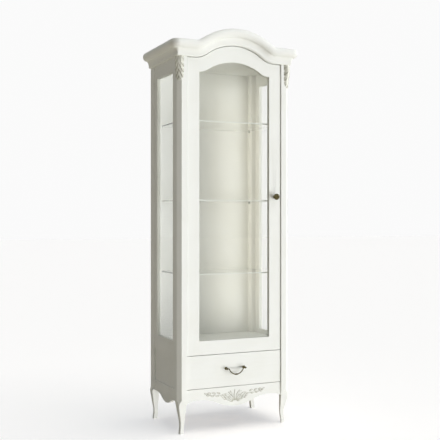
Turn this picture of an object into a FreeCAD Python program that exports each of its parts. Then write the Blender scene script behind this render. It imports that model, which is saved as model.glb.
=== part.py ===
import FreeCAD, Part
import math
import os
import re

import Sketcher

# Glass display cabinet on cabriole legs, in millimetres.
# X runs to the right, the front looks along -Y, Z is up and the floor is at zero.

SIZES = {
    # Body and posts
    "body_width": 623,
    "body_depth": 396,
    "post_width": 47,
    "front_post_depth": 50,
    "rear_post_depth": 53,
    "post_cant": 19,
    "rear_post_cant": 3,
    # Heights of the main joints
    "cornice_base": 1864,
    "leg_top": 168,
    "leg_top_hollow": 2,
    "leg_hollow_share": 0.5,
    "apron_top": 216.5,
    "drawer_bottom_edge": 219,
    "drawer_top_edge": 382.6,
    "door_bottom_edge": 385.5,
    # Running gaps
    "door_edge_gap": 2,
    "door_top_gap": 3,
    "door_back_gap": 3,
    "face_set_back": 6,
    # Arch over the door
    "arch_flat": 37.5,
    "arch_rise_share": 0.3289,
    "arch_crest_share": 0.673,
    # Cornice profile
    "cornice_overhang": 43,
    "cornice_height": 77.5,
    "cornice_lip": 5,
    "cornice_bead_out": 10,
    "cornice_bead_height": 8,
    "cornice_bead_radius": 7.5,
    "cornice_cove_out": 21,
    "cornice_cove_height": 36,
    "cornice_step": 4,
    "cornice_nose_height": 58,
    "cornice_nose_round": 7,
    "cornice_return_depth": 22,
    "head_rail_thickness": 20,
    "head_rail_drop": 6,
    # Door
    "door_thickness": 22,
    "door_stile_width": 66.5,
    "door_glass_bottom": 455,
    "door_corner_drop": 69,
    "door_glass_rise": 59,
    "door_glass_crest_share": 0.732,
    "door_edge_round": 4,
    "door_heel_round": 2,
    # Glazing
    "rebate_width": 9,
    "rebate_depth": 12,
    "glass_thickness": 4,
    "glass_edge_gap": 1,
    "bead_curve_gap": 0.4,
    # Door pivots
    "pivot_inset": 10,
    "pivot_depth": 8,
    "pivot_pin_radius": 2.5,
    "pivot_pin_length": 15,
    "pivot_running_gap": 0.06,
    "pivot_bush_radius": 4.5,
    "pivot_bush_length": 17,
    "pivot_plate_thickness": 1.5,
    "pivot_plate_length": 28,
    "pivot_plate_tail": 26,
    "pivot_plate_gap": 0.6,
    "pivot_plate_margin": 2,
    # Catch and strike
    "catch_length": 42,
    "catch_height": 14,
    "catch_depth": 16,
    "catch_gap": 0.5,
    "strike_thickness": 1.2,
    "strike_height": 12,
    "strike_margin": 1,
    # Knob
    "knob_height": 1177,
    "knob_offset": 2,
    "knob_radius": 16,
    "knob_length": 32,
    "knob_crown": 6,
    "knob_rim": 5,
    "knob_neck_radius": 5,
    "knob_foot_radius": 9,
    "knob_foot_height": 3,
    "knob_neck_flare": 2,
    "knob_cup": 4,
    "screw_radius": 2,
    "screw_hole_gap": 0.2,
    "screw_head_radius": 4.5,
    "screw_head_height": 2.5,
    "screw_bite": 10,
    "screw_point_gap": 1,
    # Side frames
    "side_set_back": 2,
    "side_thickness": 20,
    "side_front_stile": 27,
    "side_rear_stile": 46,
    "side_joint": 386,
    "side_glass_bottom": 456,
    "side_top_rail_height": 71,
    "side_panel_set_back": 7,
    "side_panel_thickness": 13,
    "side_apron_top": 218,
    "side_apron_end": 162,
    "side_apron_middle": 130,
    "side_apron_flat": 50,
    # Front apron
    "apron_thickness": 22,
    "apron_end": 148,
    "apron_shoulder": 163,
    "apron_shoulder_half": 200,
    "apron_middle": 119,
    # Carvings
    "relief_half_length": 172,
    "relief_tip": 190,
    "relief_crown": 208,
    "relief_foot": 137,
    "relief_foot_half": 62,
    "relief_foot_sag": 6,
    "relief_thickness": 5,
    "leaf_length": 120,
    "leaf_top_width": 47,
    "leaf_top_bulge": 9,
    "leaf_belly_share": 0.7,
    "leaf_belly_width": 45,
    "leaf_belly_bulge": 11,
    "leaf_waist_share": 0.35,
    "leaf_waist_width": 33,
    "leaf_waist_bulge": 9,
    "leaf_tip_width": 11,
    "leaf_tip_bulge": 4,
    "leaf_seat": 9,
    # Back, floor and ceiling
    "back_panel_thickness": 8,
    "back_panel_inset": 2,
    "back_panel_bearing": 12,
    "back_panel_side_gap": 0.5,
    "back_panel_bottom": 190,
    "back_panel_rise": 12,
    "rear_rail_bottom": 172,
    "rear_rail_top": 235,
    "rear_rail_thickness": 24,
    "ceiling_thickness": 16,
    "display_floor_top": 433,
    "display_floor_thickness": 20,
    "mid_rail_depth": 40,
    "cleat_width": 20,
    "cleat_height": 20,
    # Shelves
    "shelf_low": 782,
    "shelf_middle": 1154,
    "shelf_high": 1552,
    "shelf_thickness": 6,
    "shelf_side_gap": 2,
    "shelf_front_gap": 4,
    "shelf_back_gap": 6,
    "pin_head_radius": 3.5,
    "pin_head_length": 9,
    "pin_shank_radius": 2.5,
    "pin_shank_length": 10,
    "pin_hole_gap": 0.1,
    "pin_end_gap": 1,
    "pin_rest_gap": 0.05,
    "pin_front_inset": 10,
    "pin_rear_inset": 20,
    # Drawer
    "drawer_front_thickness": 20,
    "drawer_box_lift": 7,
    "drawer_rear_gap": 4,
    "drawer_box_height": 136,
    "drawer_side_thickness": 12,
    "drawer_guide_gap": 1,
    "drawer_rest_gap": 0.3,
    "drawer_floor_thickness": 6,
    "drawer_floor_height": 10,
    "drawer_groove_depth": 5,
    "drawer_groove_gap": 0.2,
    "drawer_floor_play": 0.5,
    "runner_thickness": 18,
    "runner_ledge": 20,
    "guide_thickness": 12,
    "guide_height": 24,
    # Drawer handle
    "handle_height": 310,
    "handle_half_span": 50,
    "handle_reach": 18,
    "handle_rose_radius": 8,
    "handle_rose_height": 2.5,
    "handle_neck_radius": 3.4,
    "handle_eye_radius": 5.2,
    "handle_pin_radius": 1.8,
    "handle_pin_gap": 0.08,
    "handle_pin_overhang": 7,
    "bail_radius": 2.6,
    "bail_end_gap": 0.5,
    "bail_pin_root": 1,
    "bail_bow_radius": 41,
    "bail_arm_length": 4,
    "bail_turn_radius": 5,
    "bail_slope": 64,
    "bail_grip_radius": 4.2,
    "bail_grip_half": 13.5,
}

# Leg stations from the knee down: height, then for the front leg its inset from the post's two
# outer faces, width and corner cant, and for the rear leg its inset from the side and its width.
LEG_STATIONS = {
    "knee": (142, 5.5, 41, 2.5, -3, 37),
    "shin": (112, 10.5, 34.5, 2, 3, 31.5),
    "calf": (86, 16.5, 27, 2, 7.5, 26.5),
    "ankle": (56, 21.5, 20.5, 1.5, 14, 21.5),
    "instep": (26, 20, 18.5, 1.5, 13.5, 20),
    "toe": (0, 16.5, 20.5, 2, 10, 21.5),
}
LEG_FIELDS = ("height", "inset", "width", "cant", "rear_inset", "rear_width")
for station, values in LEG_STATIONS.items():
    for field, number in zip(LEG_FIELDS, values):
        SIZES[f"leg_{station}_{field}"] = number

# Lengths that follow from the sizes, written as expressions of them.
DERIVED = {
    "half_width": "body_width / 2",
    "side_glass_top": "cornice_base - side_top_rail_height",
    "door_glass_corner": "cornice_base - door_corner_drop",
    "front": "(cornice_overhang - body_depth) / 2",
    "back": "(cornice_overhang + body_depth) / 2",
    "opening_half": "half_width - post_width",
    "door_half": "opening_half - door_edge_gap",
    "glass_half": "door_half - door_stile_width",
    "arch_half_span": "door_half - arch_flat",
    "arch_rise": "arch_half_span * arch_rise_share",
    "face": "front + face_set_back",
    "inner_front": "face + door_thickness + door_back_gap",
    "door_flat": "cornice_base - door_top_gap",
    "rear_post_front": "back - rear_post_depth",
    "front_post_back": "front + front_post_depth",
    "side_outer": "half_width - side_set_back",
    "side_inner": "side_outer - side_thickness",
    "side_lip": "side_inner + rebate_depth",
    "side_glass_front": "front_post_back + side_front_stile",
    "side_glass_back": "rear_post_front - side_rear_stile",
    "panel_front": "back - back_panel_inset - back_panel_thickness",
    "pivot_across": "door_half - pivot_inset",
    "pivot_back": "face + pivot_depth",
    "drawer_outer": "opening_half - guide_thickness - drawer_guide_gap",
    "drawer_inner": "drawer_outer - drawer_side_thickness",
    "drawer_box_bottom": "drawer_bottom_edge + drawer_box_lift",
    "drawer_box_front": "face + drawer_front_thickness",
    "drawer_box_back": "panel_front - rear_rail_thickness - drawer_rear_gap",
    "drawer_box_length": "drawer_box_back - drawer_box_front",
    "drawer_floor_bottom": "drawer_box_bottom + drawer_floor_height",
    "runner_top": "drawer_box_bottom - drawer_rest_gap",
    "knob_across": "door_half - door_stile_width / 2 - knob_offset",
    "pin_front": "front_post_back - pin_front_inset",
    "pin_rear": "rear_post_front + pin_rear_inset",
    "bead_depth": "rebate_depth - glass_thickness",
    "pivot_plate_top": "door_bottom_edge - pivot_plate_gap",
}

doc = FreeCAD.newDocument("display_cabinet")
sheet = doc.addObject("Spreadsheet::Sheet", "Sizes")
for row, (name, number) in enumerate(SIZES.items(), start=1):
    sheet.set(f"A{row}", name)
    sheet.set(f"B{row}", str(number))
    sheet.setAlias(f"B{row}", name)
doc.recompute()

nodes = []


def spell(text):
    """Write a plain size expression as the document's own expression."""

    def replace(match):
        word = match.group(0)
        if word in DERIVED:
            return "(" + spell(DERIVED[word]) + ")"
        if word in SIZES:
            return "Sizes." + word
        return word

    return re.sub(r"[a-z_]+", replace, str(text))


def measure(text):
    """The number that a size expression has now."""
    return float(sheet.evalExpression(spell(text)))


def bind(thing, field, text):
    """Tie one property of an object to the sheet."""
    thing.setExpression(field, spell(text))


def place(thing, x="0", y="0", z="0"):
    """Tie an object's position to the sheet."""
    bind(thing, "Placement.Base.x", x)
    bind(thing, "Placement.Base.y", y)
    bind(thing, "Placement.Base.z", z)


def keep(thing):
    """List an object as a piece that gets a file of its own."""
    nodes.append(thing)
    return thing


def board(label, low, high):
    """A plain rectangular piece between two corners."""
    box = doc.addObject("Part::Box", label)
    place(box, *low)
    for field, start, end in zip(("Length", "Width", "Height"), low, high):
        bind(box, field, f"({end}) - ({start})")
    return box


def mirror(label, source):
    """The right-hand twin of a left-hand piece."""
    twin = doc.addObject("Part::Mirroring", label)
    twin.Source = source
    twin.Normal = (1, 0, 0)
    twin.Base = (0, 0, 0)
    return twin


def group(label, pieces):
    """Several like pieces kept in one file."""
    bundle = doc.addObject("Part::Compound", label)
    bundle.Links = pieces
    return bundle


def new_body(label, x="0", y="0", z="0"):
    """An empty body at its place."""
    body = doc.addObject("PartDesign::Body", label)
    place(body, x, y, z)
    return body


PLANE_SIGN = {"XY_Plane": 1, "XZ_Plane": -1, "YZ_Plane": 1}


def sketch_on(body, role, level="0"):
    """A sketch on one of the body's own planes, at a level along that plane's axis."""
    sketch = body.newObject("Sketcher::SketchObject", body.Label + "_sketch")
    plane = [item for item in body.Origin.OriginFeatures if item.Role == role][0]
    sketch.AttachmentSupport = (plane, "")
    sketch.MapMode = "FlatFace"
    sign = PLANE_SIGN[role]
    bind(sketch, "AttachmentOffset.Base.z", f"{sign} * ({level})")
    return sketch


def pin_point(sketch, piece, end, across, up):
    """Tie one end of a sketch line or arc to its two coordinates."""
    for kind, text in (("DistanceX", across), ("DistanceY", up)):
        index = sketch.addConstraint(Sketcher.Constraint(kind, -1, 1, piece, end, measure(text)))
        bind(sketch, f"Constraints[{index}]", text)


def arc_between(start, end, radius, turn):
    """The shorter arc from start to end; turn is 1 to the left and -1 to the right."""
    chord = end.sub(start)
    middle = start.add(chord * 0.5)
    left = FreeCAD.Vector(-chord.y, chord.x, 0)
    left.normalize()
    height = math.sqrt(max(radius * radius - chord.Length * chord.Length / 4, 0))
    centre = middle.add(left * (height * turn))
    circle = Part.Circle(centre, FreeCAD.Vector(0, 0, 1), radius)
    first, last = (start, end) if turn > 0 else (end, start)
    return Part.ArcOfCircle(circle, circle.parameter(first), circle.parameter(last))


def outline(sketch, start, steps, closed=True):
    """Draw lines and arcs through tied points. A step is (x, y) or (x, y, radius, turn)."""
    corners = [start] + [step[:2] for step in steps]
    places = [FreeCAD.Vector(measure(x), measure(y), 0) for x, y in corners]
    ends = []
    for number, step in enumerate(steps):
        first, last = places[number], places[number + 1]
        if len(step) == 2:
            piece = sketch.addGeometry(Part.LineSegment(first, last), False)
            ends.append((piece, 1, 2))
            continue
        radius, turn = step[2], step[3]
        piece = sketch.addGeometry(arc_between(first, last, measure(radius), turn), False)
        ends.append((piece, 1, 2) if turn > 0 else (piece, 2, 1))
        index = sketch.addConstraint(Sketcher.Constraint("Radius", piece, measure(radius)))
        bind(sketch, f"Constraints[{index}]", radius)
    for (piece, _, tail), (follower, head, _) in zip(ends, ends[1:]):
        sketch.addConstraint(Sketcher.Constraint("Coincident", piece, tail, follower, head))
    for (piece, head, _), corner in zip(ends, corners):
        pin_point(sketch, piece, head, *corner)
    last_piece, _, last_tail = ends[-1]
    if closed:
        first_piece, first_head, _ = ends[0]
        sketch.addConstraint(
            Sketcher.Constraint("Coincident", last_piece, last_tail, first_piece, first_head))
    else:
        pin_point(sketch, last_piece, last_tail, *corners[-1])
    return sketch


def polygon(sketch, corners):
    """A closed outline of straight lines."""
    return outline(sketch, corners[0], corners[1:] + corners[:1])


def rectangle(sketch, low, high):
    """A closed upright rectangle between two corners."""
    (left, bottom), (right, top) = low, high
    return polygon(sketch, [(left, bottom), (right, bottom), (right, top), (left, top)])


def circles(sketch, centres, radius):
    """Round holes or pins at tied centres."""
    for across, up in centres:
        centre = FreeCAD.Vector(measure(across), measure(up), 0)
        ring = Part.Circle(centre, FreeCAD.Vector(0, 0, 1), measure(radius))
        piece = sketch.addGeometry(ring, False)
        index = sketch.addConstraint(Sketcher.Constraint("Radius", piece, measure(radius)))
        bind(sketch, f"Constraints[{index}]", radius)
        pin_point(sketch, piece, 3, across, up)
    return sketch


def sketch_role(sketch):
    """The role of the plane that a sketch lies on."""
    return sketch.AttachmentSupport[0][0].Role


def pad(body, sketch, length, toward=1):
    """Add material from a sketch along its plane's axis."""
    feature = body.newObject("PartDesign::Pad", body.Label + "_pad")
    feature.Profile = sketch
    bind(feature, "Length", length)
    feature.Reversed = toward != PLANE_SIGN[sketch_role(sketch)]
    return feature


def pocket(body, sketch, depth, toward=1):
    """Take material away from a sketch along its plane's axis."""
    feature = body.newObject("PartDesign::Pocket", body.Label + "_pocket")
    feature.Profile = sketch
    bind(feature, "Length", depth)
    feature.Reversed = toward == PLANE_SIGN[sketch_role(sketch)]
    return feature


def revolve(body, sketch, angle, backward=False):
    """Turn a sketch about its own upright axis."""
    feature = body.newObject("PartDesign::Revolution", body.Label + "_turn")
    feature.Profile = sketch
    feature.ReferenceAxis = (sketch, ["V_Axis"])
    feature.Angle = angle
    feature.Reversed = backward
    return feature


def round_edges(body, feature, radius, wanted):
    """Round the edges of a feature whose two ends both answer the question."""
    doc.recompute()
    names = []
    for number, edge in enumerate(feature.Shape.Edges, start=1):
        if len(edge.Vertexes) == 2 and all(wanted(vertex.Point) for vertex in edge.Vertexes):
            names.append(f"Edge{number}")
    fillet = body.newObject("PartDesign::Fillet", body.Label + "_round")
    fillet.Base = (feature, names)
    bind(fillet, "Radius", radius)
    return fillet


def near(number, text):
    """Whether a coordinate is at the place that an expression gives."""
    return abs(number - measure(text)) < 0.001


class Arch:
    """A crest arc between two shoulder arcs that run out level, and its parallel curves."""

    def __init__(self, span, rise, crest_share, flat):
        self.span = span
        self.rise = rise
        self.flat = flat
        self.both = f"((({span})^2 + ({rise})^2) / (2 * ({rise})))"
        self.crest_radius = f"({self.both} * {crest_share})"

    def crest(self, shift):
        return f"(({self.crest_radius}) + ({shift}))"

    def shoulder(self, shift):
        return f"({self.both} - ({self.crest_radius}) - ({shift}))"

    def level(self, shift):
        return f"(({self.flat}) + ({shift}))"

    def turn_across(self, shift):
        return f"({self.crest(shift)} * ({self.span}) / {self.both})"

    def turn_up(self, shift):
        return f"({self.level(shift)} + ({self.rise}) * (1 - {self.crest(shift)} / {self.both}))"

    def up_at(self, across, shift):
        """Height of the shoulder arc at a distance from the middle."""
        radius = self.shoulder(shift)
        return f"({self.level(shift)} + {radius} - sqrt({radius}^2 - (({self.span}) - ({across}))^2))"

    def rightward(self, across, up, shift):
        """Steps over the arch from left to right, ending at the given place on the shoulder."""
        return [
            (f"-{self.turn_across(shift)}", self.turn_up(shift), self.shoulder(shift), 1),
            (self.turn_across(shift), self.turn_up(shift), self.crest(shift), -1),
            (across, up, self.shoulder(shift), 1),
        ]

    def leftward(self, across, up, shift):
        """Steps over the arch from right to left, ending at the given place on the shoulder."""
        return [
            (self.turn_across(shift), self.turn_up(shift), self.shoulder(shift), -1),
            (f"-{self.turn_across(shift)}", self.turn_up(shift), self.crest(shift), 1),
            (across, up, self.shoulder(shift), -1),
        ]


CORNICE_ARCH = Arch("arch_half_span", "arch_rise", "arch_crest_share", "cornice_base")
GLASS_ARCH = Arch("glass_half", "door_glass_rise", "door_glass_crest_share", "door_glass_corner")


def leg_section(body, height, across, along, cant, edge, sign, hollow=None):
    """One level of a post or leg: its outer corner is canted and, if asked, its inner one is cut off."""
    (a_low, a_high), (b_low, b_high) = across, along

    def corner(a, b):
        return (f"{a} - half_width", f"({edge}) + {sign} * ({b})")

    inner = [corner(a_high, b_high)]
    if hollow:
        inner = [corner(a_high, f"{b_high} - {hollow}"), corner(f"{a_high} - {hollow}", b_high)]
    sketch = sketch_on(body, "XY_Plane", height)
    return polygon(sketch, [
        corner(f"{a_low} + {cant}", b_low),
        corner(a_high, b_low),
        *inner,
        corner(a_low, b_high),
        corner(a_low, f"{b_low} + {cant}"),
    ])


def post(label, depth, cant, edge, sign, station_section, hollow=None):
    """A left-hand post with its cabriole leg lofted through the leg stations."""
    body = new_body(label)
    full = (body, "leg_top", ("0", "post_width"), ("0", depth), cant, edge, sign)
    pad(body, leg_section(*full), "cornice_base - leg_top")
    loft = body.newObject("PartDesign::AdditiveLoft", label + "_leg")
    loft.Profile = leg_section(*full, hollow)
    loft.Sections = [station_section(body, station) for station in LEG_STATIONS]
    return body


def front_leg_station(body, station):
    name = f"leg_{station}"
    reach = (f"{name}_inset", f"{name}_inset + {name}_width")
    hollow = f"{name}_width * leg_hollow_share"
    return leg_section(body, f"{name}_height", reach, reach, f"{name}_cant", "front", 1, hollow)


def rear_leg_station(body, station):
    name = f"leg_{station}"
    across = (f"{name}_rear_inset", f"{name}_rear_inset + {name}_rear_width")
    along = ("0", f"{name}_rear_width")
    return leg_section(body, f"{name}_height", across, along, "rear_post_cant", "back", -1)


SHELVES = ("low", "middle", "high")


def pin_level(shelf):
    return f"shelf_{shelf} - pin_head_radius - pin_rest_gap"


def drill_pin_holes(body, along):
    """Three blind holes for shelf pins in a left-hand post's inner face."""
    holes = sketch_on(body, "YZ_Plane", "-opening_half")
    circles(holes, [(along, pin_level(shelf)) for shelf in SHELVES], "pin_shank_radius + pin_hole_gap")
    return pocket(body, holes, "pin_shank_length", -1)


def make_posts():
    front_post = post("front_left_post", "front_post_depth", "post_cant", "front", 1, front_leg_station,
                      "leg_top_hollow")
    drill_pin_holes(front_post, "pin_front")
    rear_post = post("rear_left_post", "rear_post_depth", "rear_post_cant", "back", -1, rear_leg_station)
    rebate = sketch_on(rear_post, "XY_Plane", "back_panel_bottom")
    rectangle(rebate, ("-opening_half - back_panel_bearing", "panel_front"), ("-opening_half", "back"))
    pocket(rear_post, rebate, "cornice_base - back_panel_bottom", 1)
    drill_pin_holes(rear_post, "pin_rear")
    keep(front_post)
    keep(mirror("front_right_post", front_post))
    keep(rear_post)
    keep(mirror("rear_right_post", rear_post))


def side_stile(label, low, high, rebate_low, rebate_high):
    """An upright of the left side frame with a stopped rebate for the glass."""
    body = new_body(label)
    section = sketch_on(body, "XY_Plane", "side_joint")
    rectangle(section, ("-side_outer", low), ("-side_inner", high))
    pad(body, section, "cornice_base - side_joint")
    cut = sketch_on(body, "YZ_Plane", "-side_inner")
    rectangle(cut, (rebate_low, "side_glass_bottom - rebate_width"),
              (rebate_high, "side_glass_top + rebate_width"))
    pocket(body, cut, "rebate_depth", -1)
    return body


def side_rail(label, bottom, top, rebate_bottom, rebate_top):
    """A cross rail of the left side frame, rebated along the glass."""
    body = new_body(label)
    section = sketch_on(body, "XZ_Plane", "side_glass_front")
    rectangle(section, ("-side_outer", bottom), ("-side_inner", top))
    pad(body, section, "side_glass_back - side_glass_front")
    cut = sketch_on(body, "YZ_Plane", "-side_inner")
    rectangle(cut, ("side_glass_front", rebate_bottom), ("side_glass_back", rebate_top))
    pocket(body, cut, "rebate_depth", -1)
    return body


def side_beads(label):
    """Four strips that hold the left glass in its rebate."""
    outer = "-side_inner - bead_depth"
    low = "side_glass_bottom - rebate_width"
    high = "side_glass_top + rebate_width"
    strips = {
        "front": ("side_glass_front - rebate_width", "side_glass_front", low, high),
        "rear": ("side_glass_back", "side_glass_back + rebate_width", low, high),
        "bottom": ("side_glass_front", "side_glass_back", low, "side_glass_bottom"),
        "top": ("side_glass_front", "side_glass_back", "side_glass_top", high),
    }
    pieces = []
    for name, (start, end, bottom, top) in strips.items():
        pieces.append(board(f"{label}_{name}", (outer, start, bottom), ("-side_inner", end, top)))
    return group(label, pieces)


def side_apron(label):
    """The scalloped rail below the left panel."""
    body = new_body(label, x="-side_outer")
    half = "((rear_post_front - side_apron_flat - front_post_back) / 2)"
    middle = f"(front_post_back + {half})"
    drop = "(side_apron_end - side_apron_middle)"
    bend = f"((({half})^2 + {drop}^2) / (4 * {drop}))"
    level = "((side_apron_end + side_apron_middle) / 2)"
    sketch = sketch_on(body, "YZ_Plane")
    outline(sketch, ("front_post_back", "side_apron_top"), [
        ("front_post_back", "side_apron_end"),
        (f"{middle} - {half} / 2", level, bend, -1),
        (f"{middle} + {half} / 2", level, bend, 1),
        ("rear_post_front - side_apron_flat", "side_apron_end", bend, -1),
        ("rear_post_front", "side_apron_end"),
        ("rear_post_front", "side_apron_top"),
        ("front_post_back", "side_apron_top"),
    ])
    pad(body, sketch, "side_thickness")
    return body


def make_sides():
    glass_low = "side_glass_bottom - rebate_width"
    glass_high = "side_glass_top + rebate_width"
    slack = "(rebate_width - glass_edge_gap)"
    panel_outer = "half_width - side_panel_set_back"
    pieces = {
        "front_stile": side_stile("left_front_stile", "front_post_back", "side_glass_front",
                                  "side_glass_front - rebate_width", "side_glass_front"),
        "rear_stile": side_stile("left_rear_stile", "side_glass_back", "rear_post_front",
                                 "side_glass_back", "side_glass_back + rebate_width"),
        "top_rail": side_rail("left_top_rail", "side_glass_top", "cornice_base",
                              "side_glass_top", glass_high),
        "bottom_rail": side_rail("left_bottom_rail", "side_joint", "side_glass_bottom",
                                 glass_low, "side_glass_bottom"),
        "side_glass": board(
            "left_side_glass",
            ("-side_lip", f"side_glass_front - {slack}", f"side_glass_bottom - {slack}"),
            ("-side_lip + glass_thickness", f"side_glass_back + {slack}", f"side_glass_top + {slack}")),
        "glazing_beads": side_beads("left_glazing_beads"),
        "lower_panel": board(
            "left_lower_panel", (f"-({panel_outer})", "front_post_back", "side_apron_top"),
            (f"-({panel_outer}) + side_panel_thickness", "rear_post_front", "side_joint")),
        "side_apron": side_apron("left_side_apron"),
    }
    for name, piece in pieces.items():
        keep(piece)
        keep(mirror("right_" + name, piece))


def make_front_apron():
    body = new_body("front_apron", y="face")
    ends = "(opening_half - apron_shoulder_half)"
    lift = "(apron_shoulder - apron_end)"
    bracket = f"(({ends}^2 + {lift}^2) / (2 * {lift}))"
    drop = "(apron_shoulder - apron_middle)"
    bend = f"((apron_shoulder_half^2 + {drop}^2) / (4 * {drop}))"
    level = "((apron_shoulder + apron_middle) / 2)"
    sketch = sketch_on(body, "XZ_Plane")
    outline(sketch, ("-opening_half", "apron_top"), [
        ("-opening_half", "apron_end"),
        ("-apron_shoulder_half", "apron_shoulder", bracket, -1),
        ("-apron_shoulder_half / 2", level, bend, -1),
        ("apron_shoulder_half / 2", level, bend, 1),
        ("apron_shoulder_half", "apron_shoulder", bend, -1),
        ("opening_half", "apron_end", bracket, -1),
        ("opening_half", "apron_top"),
        ("-opening_half", "apron_top"),
    ])
    pad(body, sketch, "apron_thickness")
    keep(body)


def make_apron_relief():
    """The applied relief, as its outline and thickness."""
    body = new_body("apron_relief", y="face - relief_thickness")
    crown = "(relief_crown - relief_tip)"
    crown_radius = f"((relief_half_length^2 + {crown}^2) / (2 * {crown}))"
    sketch = sketch_on(body, "XZ_Plane")
    outline(sketch, ("-relief_half_length", "relief_tip"), [
        ("-relief_foot_half", "relief_foot + relief_foot_sag", "relief_half_length", 1),
        ("relief_foot_half", "relief_foot + relief_foot_sag", "relief_half_length * 2", 1),
        ("relief_half_length", "relief_tip", "relief_half_length", 1),
        ("-relief_half_length", "relief_tip", crown_radius, 1),
    ])
    pad(body, sketch, "relief_thickness")
    keep(body)


def leaf_level(body, height, name):
    """One level of a corner leaf: a round front, and a back that is still to be cut to the corner."""
    half = f"(leaf_{name}_width / 2)"
    seat = f"(leaf_seat * leaf_{name}_width / leaf_top_width)"
    rise = f"({seat} + leaf_{name}_bulge)"
    sketch = sketch_on(body, "XY_Plane", height)
    outline(sketch, (half, seat), [
        (f"-{half}", seat),
        (half, seat, f"(({half}^2 + {rise}^2) / (2 * {rise}))", 1),
    ])
    return sketch


def make_corner_leaves():
    """The applied leaf on each canted front corner, lofted from its head to its tip."""
    body = new_body("left_corner_leaf", "post_cant / 2 - half_width", "front + post_cant / 2",
                    "cornice_base - leaf_length")
    body.Placement.Rotation = FreeCAD.Rotation(FreeCAD.Vector(0, 0, 1), -45)
    loft = body.newObject("PartDesign::AdditiveLoft", "left_corner_leaf_loft")
    loft.Profile = leaf_level(body, "leaf_length", "top")
    loft.Sections = [
        leaf_level(body, "leaf_length * leaf_belly_share", "belly"),
        leaf_level(body, "leaf_length * leaf_waist_share", "waist"),
        leaf_level(body, "0", "tip"),
    ]
    edge = "(post_cant / sqrt(2))"
    corner = sketch_on(body, "XY_Plane")
    polygon(corner, [
        (edge, "0"),
        (f"{edge} + post_cant", "post_cant"),
        (f"-{edge} - post_cant", "post_cant"),
        (f"-{edge}", "0"),
    ])
    pocket(body, corner, "leaf_length")
    keep(body)
    keep(mirror("right_corner_leaf", body))


def cornice_steps(inner):
    """The moulding from its back bottom edge outward, up over the nose and back."""

    def quarter(wide, high):
        """Radius of an arc that starts upright and ends wide to the side and high above."""
        return f"((({wide})^2 + ({high})^2) / (2 * ({wide})))"

    step = "(cornice_cove_out + cornice_step)"
    cove = quarter("cornice_cove_out - cornice_bead_out", "cornice_cove_height - cornice_bead_height")
    under = quarter(f"cornice_overhang - {step}", "cornice_nose_height - cornice_cove_height")
    over = quarter("cornice_nose_round", "cornice_height - cornice_nose_height")
    return [
        ("-cornice_lip", "cornice_base"),
        ("-cornice_bead_out", "cornice_base + cornice_bead_height", "cornice_bead_radius", -1),
        ("-cornice_cove_out", "cornice_base + cornice_cove_height", cove, 1),
        (f"-{step}", "cornice_base + cornice_cove_height"),
        ("-cornice_overhang", "cornice_base + cornice_nose_height", under, -1),
        ("-cornice_overhang + cornice_nose_round", "cornice_base + cornice_height", over, -1),
        (inner, "cornice_base + cornice_height"),
        (inner, "cornice_base"),
    ]


def cornice_section(body, role, level, inner):
    sketch = sketch_on(body, role, level)
    return outline(sketch, (inner, "cornice_base"), cornice_steps(inner))


def make_cornice():
    """The arched front moulding swept over the door, and its two returns."""
    front_piece = new_body("front_cornice", y="front")
    route = sketch_on(front_piece, "XZ_Plane")
    ends = [("half_width", "cornice_base")]
    arch = CORNICE_ARCH.rightward("arch_half_span", "cornice_base", "0")
    outline(route, ("-half_width", "cornice_base"),
            [("-arch_half_span", "cornice_base")] + arch + ends, closed=False)
    sweep = front_piece.newObject("PartDesign::AdditivePipe", "front_cornice_sweep")
    sweep.Profile = cornice_section(front_piece, "YZ_Plane", "-half_width",
                                    "inner_front - front")
    sweep.Spine = (route, [])
    for level, turn_back in (("-half_width", True), ("half_width", False)):
        corner = cornice_section(front_piece, "YZ_Plane", level, "0")
        revolve(front_piece, corner, 45, turn_back)
    keep(front_piece)

    left_piece = new_body("left_cornice", x="-half_width", y="front")
    pad(left_piece, cornice_section(left_piece, "XZ_Plane", "0", "0"), "body_depth")
    inner = sketch_on(left_piece, "XZ_Plane", "inner_front - front")
    rectangle(inner, ("0", "cornice_base"), ("cornice_return_depth", "cornice_base + cornice_height"))
    pad(left_piece, inner, "back - inner_front")
    revolve(left_piece, cornice_section(left_piece, "XZ_Plane", "0", "0"), 45)
    keep(left_piece)
    keep(mirror("right_cornice", left_piece))


def make_head_rail():
    """The arched rail behind the cornice that the door shuts against."""
    ends = "(half_width - cornice_return_depth)"
    rise = "(cornice_height - head_rail_drop)"
    top = CORNICE_ARCH.level(rise)
    body = new_body("head_rail", y="inner_front")
    sketch = sketch_on(body, "XZ_Plane")
    outline(sketch, (f"-{ends}", top),
            [("-arch_half_span", top)]
            + CORNICE_ARCH.rightward("arch_half_span", top, rise)
            + [(ends, top), (ends, "cornice_base"), (f"-{ends}", "cornice_base"), (f"-{ends}", top)])
    pad(body, sketch, "head_rail_thickness")
    keep(body)


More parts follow.
